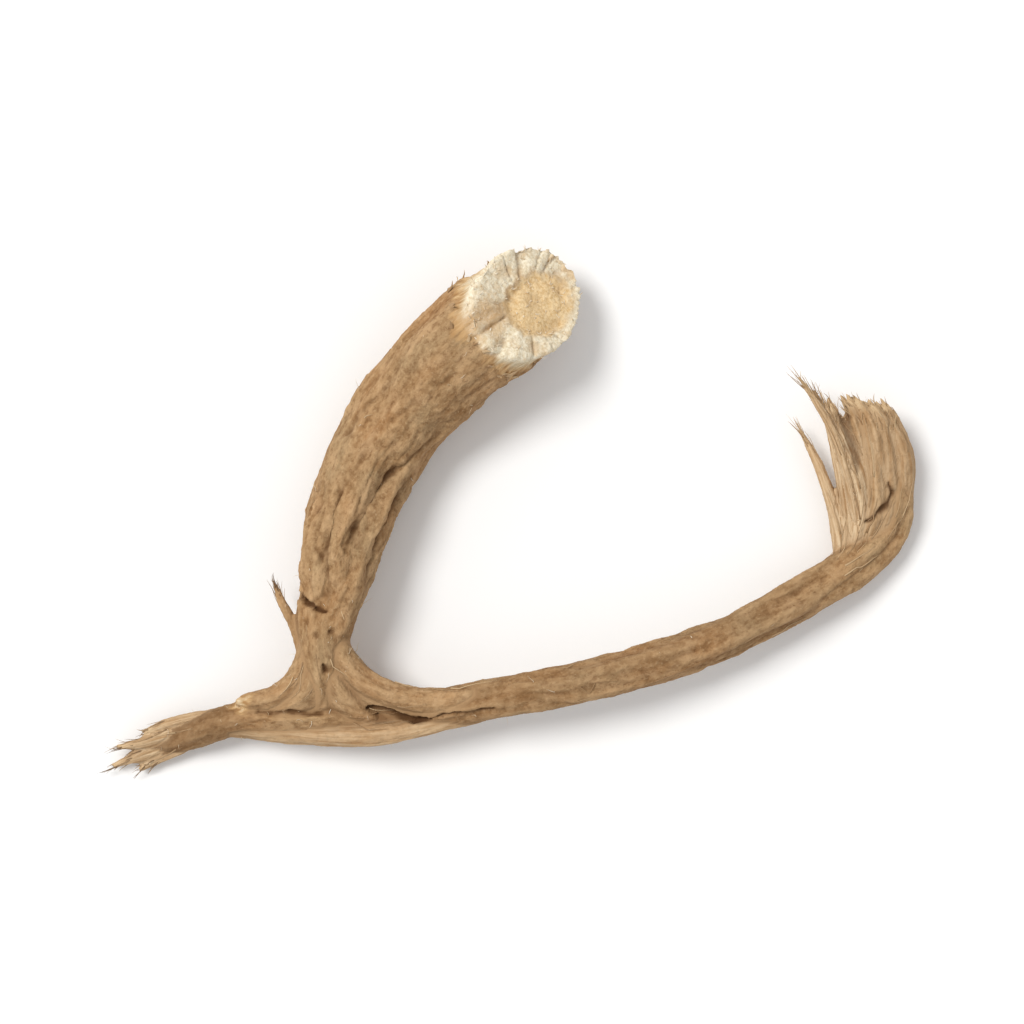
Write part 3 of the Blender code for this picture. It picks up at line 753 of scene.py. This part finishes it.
def cut_fibres(points, normals, places, routes, draw):
    """Torn fibres round the rim of the cut, most on its upper left, and over its face."""
    tangent = frames_along(routes[0][1][:, :3])[0][0]
    out = -tangent * 0.5 + np.array((0.15, 0.1, 0.45))
    behind, reach = places["behind"], places["reach"]
    rim = (np.abs(behind) < 0.16) & (reach > 1.16) & (reach < 1.75) & places["branch"]
    leaning = 0.25 + (0.5 + 0.5 * np.cos(places["angle"] - math.radians(75))) ** 2
    parts = []
    count, lengths, widths = RIM_FIBRES
    for index in choose(draw, rim * leaning, count):
        heading = out * 0.5 + normals[index] * 0.7 + draw.normal(size=3) * 0.25
        path = wander(points[index], heading, draw.uniform(*lengths), 1.0, draw)
        parts.append(tube(keep_in_reach(path), draw.uniform(*widths), 0.5, normals[index]))
    face = (behind < 0.12) & (reach < 1.3) & places["branch"]
    count, lengths, widths = FACE_FIBRES
    for index in choose(draw, face.astype(float), count):
        heading = normals[index] * 0.12 + draw.normal(size=3) * 0.6
        path = wander(points[index], heading, draw.uniform(*lengths), 1.2, draw)
        parts.append(tube(keep_in_reach(path), draw.uniform(*widths), 0.6, normals[index]))
    return parts


def bark_flakes(points, normals, places, routes, draw):
    """Small curled flakes and threads where the bark was torn off behind the cut."""
    tangent = frames_along(routes[0][1][:, :3])[0][0]
    edge = places["bark"] * (1 - places["bark"]) * places["branch"]
    parts = []
    count, lengths, widths = FLAKES
    for index in choose(draw, edge, count):
        heading = -tangent + normals[index] * draw.uniform(0.0, 0.5) + draw.normal(size=3) * 0.25
        path = wander(points[index], heading, draw.uniform(*lengths), 0.8, draw)
        width = draw.choice(widths)
        parts.append(tube(keep_in_reach(path), width, 0.28, normals[index], 6))
    return parts


def end_fibres(routes, wanted, count, lengths, tree, draw):
    """Fibres that split off along the last part of each strand of the wanted kinds and run past its end."""
    parts = []
    for kind, stations, along in routes:
        if kind not in wanted:
            continue
        if kind == SIDE:
            stations, along = stations[::-1], along[-1] - along[::-1]
        tangent, up, side = frames_along(stations[:, :3])
        last = np.flatnonzero(along > along[-1] - SPLIT_LENGTH)
        for _ in range(count):
            row = draw.choice(last)
            turn = draw.uniform(-1.9, 1.9)
            out = up[row] * math.cos(turn) + side[row] * math.sin(turn)
            root, normal, _, _ = tree.find_nearest(Vector(stations[row, :3] + out * stations[row, 3]))
            heading = tangent[row] + np.array(normal) * draw.uniform(0.02, 0.14) + draw.normal(size=3) * 0.06
            path = wander(root, heading, draw.uniform(*lengths), 0.35, draw)
            parts.append(tube(keep_in_reach(path), draw.uniform(0.010, 0.026), 0.6, out))
    return parts


def fuzz(points, normals, places, draw):
    """Fine short hairs on the bark, most of them in its hollows and at the fork."""
    near_fork = np.exp(-((points[:, :2] - FORK_MIDDLE) ** 2).sum(axis=1) / 4.0)
    weights = places["bark"] * (0.10 + near_fork) * (normals[:, 2] > -0.2)
    parts = []
    count, lengths, widths = HAIRS
    for index in choose(draw, weights, count):
        heading = normals[index] * 0.5 + draw.normal(size=3) * 0.6
        path = wander(points[index], heading, draw.uniform(*lengths), 1.6, draw)
        parts.append(tube(keep_in_reach(path), draw.uniform(*widths), 1.0, normals[index], 3))
    return parts


def bast_threads(routes, tree, draw):
    """Pale threads of bast that lie along the hooked end and the thin roots and lift at their ends."""
    parts = []
    for kind, count, length in BAST_THREADS:
        for stations in (row[1] for row in routes if row[0] == kind):
            tangent, up, side = frames_along(stations[:, :3])
            steps = max(4, round(length * draw.uniform(0.6, 1.1) / THREAD_STEP))
            for _ in range(count):
                start = draw.integers(0, max(1, len(stations) - steps))
                rows = np.arange(start, min(start + steps, len(stations)), 2)
                turn = draw.uniform(-1.2, 1.2) + np.linspace(0, draw.uniform(-0.5, 0.5), len(rows))
                out = up[rows] * np.cos(turn)[:, None] + side[rows] * np.sin(turn)[:, None]
                path = stations[rows, :3] + out * stations[rows, 3:] * 1.3
                for k, place in enumerate(path):
                    found, normal, _, _ = tree.find_nearest(Vector(place))
                    lift = 0.006 + 0.10 * max(0, 2 * k / len(path) - 1.4)
                    path[k] = np.array(found) + np.array(normal) * lift
                parts.append(tube(keep_in_reach(path), draw.uniform(0.012, 0.026), 0.55, out[0]))
    return parts


# Node materials

class Nodes:
    """Adds nodes to one material's tree."""

    def __init__(self, name):
        self.material = bpy.data.materials.new(name)
        self.material.use_nodes = True
        self.tree = self.material.node_tree
        self.shader = self.tree.nodes["Principled BSDF"]

    def add(self, kind, inputs=None, **settings):
        node = self.tree.nodes.new(kind)
        for key, value in settings.items():
            setattr(node, key, value)
        for key, value in (inputs or {}).items():
            self.feed(node.inputs[key], value)
        return node

    def feed(self, socket, value):
        if isinstance(value, bpy.types.NodeSocket):
            self.tree.links.new(value, socket)
        elif value is not None:
            socket.default_value = value

    def read(self, name, vector=False):
        node = self.add("ShaderNodeAttribute", attribute_name=name)
        return node.outputs["Vector" if vector else "Fac"]

    def noise(self, vector, stretch, detail=4.0, rough=0.55):
        place = self.add("ShaderNodeMapping", {"Vector": vector, "Scale": stretch}).outputs["Vector"]
        inputs = {"Vector": place, "Scale": 1.0, "Detail": detail, "Roughness": rough}
        return self.add("ShaderNodeTexNoise", inputs).outputs["Fac"]

    def math(self, operation, first, second):
        return self.add("ShaderNodeMath", {0: first, 1: second}, operation=operation).outputs[0]

    def spread(self, value, low, high, to_low=0.0, to_high=1.0):
        inputs = {"Value": value, "From Min": low, "From Max": high, "To Min": to_low, "To Max": to_high}
        return self.add("ShaderNodeMapRange", inputs).outputs["Result"]

    def mix(self, share, first, second):
        node = self.add("ShaderNodeMix", data_type="RGBA")
        self.feed(node.inputs[0], share)
        self.feed(node.inputs[6], first)
        self.feed(node.inputs[7], second)
        return node.outputs[2]

    def layer(self, colour, layers):
        """Colours laid over one another, each where its value goes from low to high, at most by its share."""
        for value, low, high, share, levels in layers:
            colour = self.mix(self.spread(value, low, high, 0.0, share), colour, srgb(*levels))
        return colour


def srgb(*levels):
    """Linear colour of an sRGB one given by levels up to 255, none of them near 0."""
    return tuple(((level / 255 + 0.055) / 1.055) ** 2.4 for level in levels) + (1.0,)


def bark_colour(n, straight):
    """Tan crests and brown painted shade in the hollows and cracks, streaks along the root, greyish patches,
    stipple and pale scuffs.
    """
    hollow, deep, dark, frayed = n.read("hollow"), n.read("deep"), n.read("dark"), n.read("frayed")
    streak = n.noise(straight, (4.5, 4.5, 0.9), 5.0, 0.6)
    patch = n.noise(straight, (0.9, 0.9, 0.5), 3.0)
    blotch = n.noise(straight, (2.2, 2.2, 1.6), 3.0, 0.5)
    stipple = n.noise(straight, (7.0, 7.0, 5.0), 3.0, 0.6)
    speck = n.noise(straight, (17.0, 17.0, 12.0), 3.0, 0.65)
    scuff = n.noise(straight, (2.6, 2.6, 1.1), 5.0, 0.7)
    colour = n.mix(n.spread(streak, 0.30, 0.70), srgb(144, 107, 69), srgb(180, 143, 102))
    colour = n.layer(colour, (
        (patch, 0.42, 0.66, 0.65, (160, 136, 102)),
        (patch, 0.42, 0.28, 0.45, (168, 122, 78)),
        (blotch, 0.52, 0.66, 0.50, (190, 155, 116)),
        (blotch, 0.46, 0.34, 0.45, (132, 98, 62)),
        (stipple, 0.52, 0.68, 0.50, (196, 161, 120)),
        (stipple, 0.48, 0.34, 0.55, (116, 82, 50)),
        (speck, 0.58, 0.74, 0.45, (210, 180, 140)),
        (speck, 0.42, 0.28, 0.50, (102, 70, 40)),
        (scuff, 0.66, 0.72, 0.45, (208, 180, 140)),
    ))
    colour = n.mix(n.read("merged"), colour, srgb(164, 130, 93))
    threads = n.noise(straight, (13.0, 13.0, 0.8), 4.0, 0.6)
    bast = n.mix(n.spread(threads, 0.34, 0.66), srgb(166, 128, 88), srgb(232, 208, 172))
    colour = n.mix(n.math("MULTIPLY", frayed, 0.85), colour, bast)
    colour = n.mix(n.math("MULTIPLY", n.read("ending"), 0.5), colour, srgb(224, 198, 158))
    colour = n.mix(n.math("MULTIPLY", dark, 0.70), colour, n.mix(0.70, colour, srgb(92, 64, 38)))
    # Lighter on raised crests, and brown painted shade in the wide hollows
    colour = n.layer(colour, (
        (hollow, -0.010, -0.05, 0.30, (206, 172, 130)),
        (deep, 0.02, 0.14, 0.48, (108, 74, 42)),
    ))
    # Painted shade in the narrow hollows, less on frayed strands
    lessened = n.spread(frayed, 0.0, 1.0, 1.0, 0.4)
    hollow_shade_share = n.math("MULTIPLY", n.spread(hollow, 0.008, 0.06, 0.0, 0.62), lessened)
    colour = n.mix(hollow_shade_share, colour, srgb(100, 66, 36))
    # Painted shade in the cracks and along the furrows' middles
    return n.mix(n.math("MULTIPLY", n.read("painted_crack_shade"), 0.85), colour, srgb(72, 44, 22)), streak, stipple, speck


def wood_colour(n, straight, peel):
    """Torn inner bark and cream wood behind the cut, and the cut face with its yellower core, a painted shadow
    round the core and painted shade in the hollows.
    """
    face, core, hollow = n.read("face"), n.read("core"), n.read("hollow")
    fibre = n.noise(straight, (11.0, 11.0, 1.0), 4.0, 0.6)
    pore = n.noise(straight, (12.0, 12.0, 12.0), 4.0, 0.7)
    stain = n.noise(straight, (1.5, 1.5, 1.2), 4.0, 0.6)
    inner = n.mix(n.spread(fibre, 0.34, 0.66), srgb(168, 124, 76), srgb(214, 180, 132))
    cream = n.mix(n.spread(fibre, 0.34, 0.66), srgb(200, 178, 140), srgb(232, 218, 190))
    side = n.mix(n.spread(peel, -0.40, -0.10), cream, inner)
    cut = n.mix(n.spread(pore, 0.36, 0.62), srgb(220, 202, 168), srgb(248, 238, 215))
    middle = n.mix(n.spread(pore, 0.36, 0.64), srgb(212, 176, 124), srgb(242, 216, 172))
    middle = n.mix(n.spread(pore, 0.62, 0.72, 0.0, 0.5), middle, srgb(226, 170, 96))
    cut = n.mix(core, cut, middle)
    # Painted shadow round the core
    cut = n.mix(n.math("MULTIPLY", n.read("core_shadow"), 0.75), cut, srgb(160, 124, 84))
    colour = n.mix(face, side, cut)
    colour = n.mix(n.spread(stain, 0.50, 0.62, 0.0, 0.55), colour, srgb(206, 172, 126))
    tongue = n.math("MULTIPLY", n.read("tongue"), n.spread(fibre, 0.30, 0.60, 0.4, 1.0))
    colour = n.mix(n.math("MULTIPLY", tongue, 0.70), colour, srgb(192, 150, 100))
    # Painted shade in the hollows of the torn wood
    return n.mix(n.spread(hollow, 0.012, 0.07, 0.0, 0.70), colour, srgb(156, 116, 70)), fibre, pore


def skin_material():
    """Bark and cut wood in one material, told apart by what is stored at the vertices."""
    n = Nodes("bark_and_wood")
    straight = n.read("straight", True)
    frayed_edge = n.noise(straight, (8.0, 8.0, 1.3), 4.0, 0.6)
    peel = n.math("ADD", n.read("peel"), n.spread(frayed_edge, 0.25, 0.75, -0.22, 0.22))
    bark = n.spread(peel, -0.16, 0.12)
    on_bark, streak, stipple, speck = bark_colour(n, straight)
    on_wood, fibre, pore = wood_colour(n, straight, peel)
    colour = n.mix(bark, on_wood, on_bark)
    n.feed(n.shader.inputs["Base Color"], colour)
    n.feed(n.shader.inputs["Roughness"], n.spread(speck, 0.3, 0.7, 0.95, 0.74))
    n.shader.inputs["Specular IOR Level"].default_value = 0.15
    bark_height = n.math("ADD", n.math("MULTIPLY", stipple, 0.9), n.math("MULTIPLY", speck, 0.7))
    bark_height = n.math("ADD", bark_height, n.math("MULTIPLY", streak, 0.7))
    wood_height = n.math("ADD", fibre, n.math("MULTIPLY", pore, 0.9))
    mixed = n.add("ShaderNodeMix", {0: bark, 2: wood_height, 3: bark_height}, data_type="FLOAT")
    height = n.math("MULTIPLY", mixed.outputs[0], n.spread(n.read("merged"), 0.0, 1.0, 1.0, 0.0))
    inputs = {"Height": height, "Distance": BUMP_DEPTH, "Strength": BUMP_STRENGTH}
    n.feed(n.shader.inputs["Normal"], n.add("ShaderNodeBump", inputs).outputs["Normal"])
    return n.material


def fibre_material(name, dull, bright):
    """Bast and wood fibres between two colours, each fibre with its own tint."""
    n = Nodes(name)
    place = n.add("ShaderNodeTexCoord").outputs["Object"]
    shade = n.noise(place, (9000.0, 9000.0, 9000.0), 2.0)
    share = n.math("ADD", n.math("MULTIPLY", n.read("tint"), 0.75), n.math("MULTIPLY", shade, 0.25))
    n.feed(n.shader.inputs["Base Color"], n.mix(share, dull, bright))
    n.shader.inputs["Roughness"].default_value = 0.7
    n.shader.inputs["Specular IOR Level"].default_value = 0.3
    return n.material


def floor_material():
    n = Nodes("white_surface")
    place = n.add("ShaderNodeTexCoord").outputs["Object"]
    shade = n.noise(place, (9.0, 9.0, 9.0), 2.0)
    n.feed(n.shader.inputs["Base Color"], n.mix(shade, (0.90, 0.90, 0.90, 1), (0.915, 0.915, 0.915, 1)))
    n.shader.inputs["Roughness"].default_value = 0.95
    n.shader.inputs["Specular IOR Level"].default_value = 0.1
    return n.material


# The stage, the light and the camera

def make_stage():
    bpy.ops.mesh.primitive_plane_add(size=FLOOR_SIZE, location=(0, 0, -FLOOR_DROP))
    floor = bpy.context.object
    floor.name = "surface"
    floor.data.materials.append(floor_material())


def make_light():
    world = bpy.data.worlds.new("soft_room")
    world.use_nodes = True
    background = world.node_tree.nodes["Background"]
    background.inputs["Color"].default_value = (1.0, 1.0, 1.0, 1)
    background.inputs["Strength"].default_value = ROOM_STRENGTH
    bpy.context.scene.world = world
    lamp = bpy.data.lights.new("key", "SUN")
    lamp.energy = KEY_STRENGTH
    lamp.angle = math.radians(KEY_SPREAD)
    lamp.color = KEY_COLOUR
    key = bpy.data.objects.new("key", lamp)
    key.rotation_euler = Vector(KEY_AIM).to_track_quat("-Z", "Y").to_euler()
    bpy.context.scene.collection.objects.link(key)
    bpy.context.scene.view_settings.view_transform = "Standard"


def make_camera():
    low, high = cad_box
    data = bpy.data.cameras.new("camera")
    data.lens = LENS
    data.clip_start, data.clip_end = 0.001, 10
    camera = bpy.data.objects.new("camera", data)
    distance = (high.x - low.x) / FILLED * data.lens / data.sensor_width
    camera.location = ((low.x + high.x) / 2, (low.y + high.y) / 2, high.z / 2 + distance)
    bpy.context.scene.collection.objects.link(camera)
    bpy.context.scene.camera = camera


def make_fibres(mesh, places, routes):
    """Every fibre, flake and hair, made before the skin is scaled to metres."""
    draw = np.random.default_rng(SEED)
    points, normals = vertices_of(mesh), normals_of(mesh)
    tree = BVHTree.FromPolygons(points.tolist(), [tuple(p.vertices) for p in mesh.polygons])
    pale = fibre_material("pale_fibres", srgb(205, 178, 138), srgb(244, 234, 214))
    tan = fibre_material("tan_fibres", srgb(140, 104, 68), srgb(212, 184, 144))
    brown = fibre_material("brown_fibres", srgb(96, 70, 46), srgb(176, 146, 110))
    groups = [
        ("cut_fibres", cut_fibres(points, normals, places, routes, draw), pale),
        ("bark_flakes", bark_flakes(points, normals, places, routes, draw), tan),
    ]
    for (name, wanted, count, lengths), material in zip(END_FIBRES, (tan, tan, brown)):
        groups.append((name, end_fibres(routes, wanted, count, lengths, tree, draw), material))
    groups.append(("bark_fuzz", fuzz(points, normals, places, draw), pale))
    groups.append(("bast_threads", bast_threads(routes, tree, draw), tan))
    for name, parts, material in groups:
        join(name, parts, draw.uniform(0, 1, len(parts)), material)


def main():
    make_stage()
    make_light()
    make_camera()
    routes = all_routes()
    mesh, places = make_skin(routes)
    make_fibres(mesh, places, routes)
    mesh.transform(Matrix.Scale(MM, 4))
    mesh.shade_smooth()
    skin = link("bark_skin", mesh)
    dress(skin, skin_material())
    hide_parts(NODE)


main()
